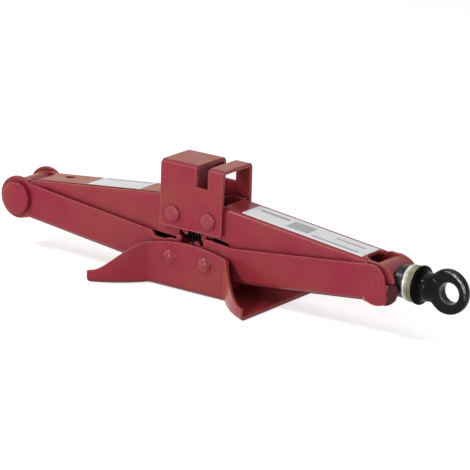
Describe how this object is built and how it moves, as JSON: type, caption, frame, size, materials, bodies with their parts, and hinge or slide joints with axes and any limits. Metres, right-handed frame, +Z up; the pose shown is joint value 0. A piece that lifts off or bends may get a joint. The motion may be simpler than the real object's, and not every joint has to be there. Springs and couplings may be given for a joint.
{
  "type": "scissor jack",
  "caption": "Folded scissor jack: pressed channel arms geared at foot and saddle, drawn together by a screw with a forged drive eye.",
  "frame": {"origin": "middle of the foot's underside, which stands on the ground", "axes": "+Z up, the way the saddle rises; +X along the screw towards the drive eye; the front faces -Y"},
  "size_m": [0.445, 0.1108, 0.105],
  "materials": {
    "red_paint": "semi-gloss crimson paint on pressed steel",
    "black_steel": "black oxide, lightly oiled",
    "grey_steel": "turned steel",
    "yellow_zinc": "yellow passivated zinc plating"
  },
  "bodies": {
    "foot": {"foot": "red_paint", "foot_rivet_left": "red_paint", "foot_rivet_right": "red_paint"},
    "lower_left_arm": {"lower_left_arm": "red_paint"},
    "lower_right_arm": {"lower_right_arm": "red_paint"},
    "upper_left_arm": {"upper_left_arm": "red_paint"},
    "upper_right_arm": {"upper_right_arm": "red_paint"},
    "saddle": {"saddle": "red_paint", "saddle_rivet_left": "red_paint", "saddle_rivet_right": "red_paint"},
    "nut": {"nut_trunnion": "red_paint", "nut_disc_front": "red_paint", "nut_disc_rear": "red_paint"},
    "plain_trunnion": {"plain_trunnion": "red_paint"},
    "screw": {"lift_screw": "black_steel", "screw_stop": "black_steel", "screw_retainer": "grey_steel", "thrust_washer": "grey_steel", "thrust_bush": "yellow_zinc", "thrust_ring": "yellow_zinc", "drive_eye": "black_steel"}
  },
  "joints": [
    {"name": "lower_left_fold", "type": "hinge", "parent": "foot", "child": "lower_left_arm", "pos_m": [-0.0175, 0, 0.027], "axis": [0, 1, 0], "range_deg": [0, 64]},
    {"name": "lower_right_fold", "type": "hinge", "parent": "foot", "child": "lower_right_arm", "pos_m": [0.0175, 0, 0.027], "axis": [0, 1, 0], "range_deg": [-64, 0]},
    {"name": "upper_left_fold", "type": "hinge", "parent": "lower_left_arm", "child": "upper_left_arm", "pos_m": [-0.1775, 0, 0.0445], "axis": [0, 1, 0], "range_deg": [-128, 0]},
    {"name": "upper_right_fold", "type": "hinge", "parent": "lower_right_arm", "child": "upper_right_arm", "pos_m": [0.1775, 0, 0.0445], "axis": [0, 1, 0], "range_deg": [0, 128]},
    {"name": "saddle_level", "type": "hinge", "parent": "upper_left_arm", "child": "saddle", "pos_m": [-0.0175, 0, 0.062], "axis": [0, 1, 0], "range_deg": [0, 64]},
    {"name": "nut_level", "type": "hinge", "parent": "lower_left_arm", "child": "nut", "pos_m": [-0.1775, 0, 0.0445], "axis": [0, 1, 0], "range_deg": [-64, 0]},
    {"name": "plain_trunnion_level", "type": "hinge", "parent": "lower_right_arm", "child": "plain_trunnion", "pos_m": [0.1775, 0, 0.0445], "axis": [0, 1, 0], "range_deg": [0, 64]},
    {"name": "screw_turn", "type": "hinge", "parent": "plain_trunnion", "child": "screw", "pos_m": [0.1775, 0, 0.0445], "axis": [1, 0, 0], "continuous": true}
  ],
  "couplings": [
    {"joint": "lower_right_fold", "follows": "lower_left_fold", "ratio": -1},
    {"joint": "upper_left_fold", "follows": "lower_left_fold", "ratio": -2},
    {"joint": "upper_right_fold", "follows": "lower_left_fold", "ratio": 2},
    {"joint": "saddle_level", "follows": "lower_left_fold", "ratio": 1},
    {"joint": "nut_level", "follows": "lower_left_fold", "ratio": -1},
    {"joint": "plain_trunnion_level", "follows": "lower_left_fold", "ratio": 1}
  ]
}
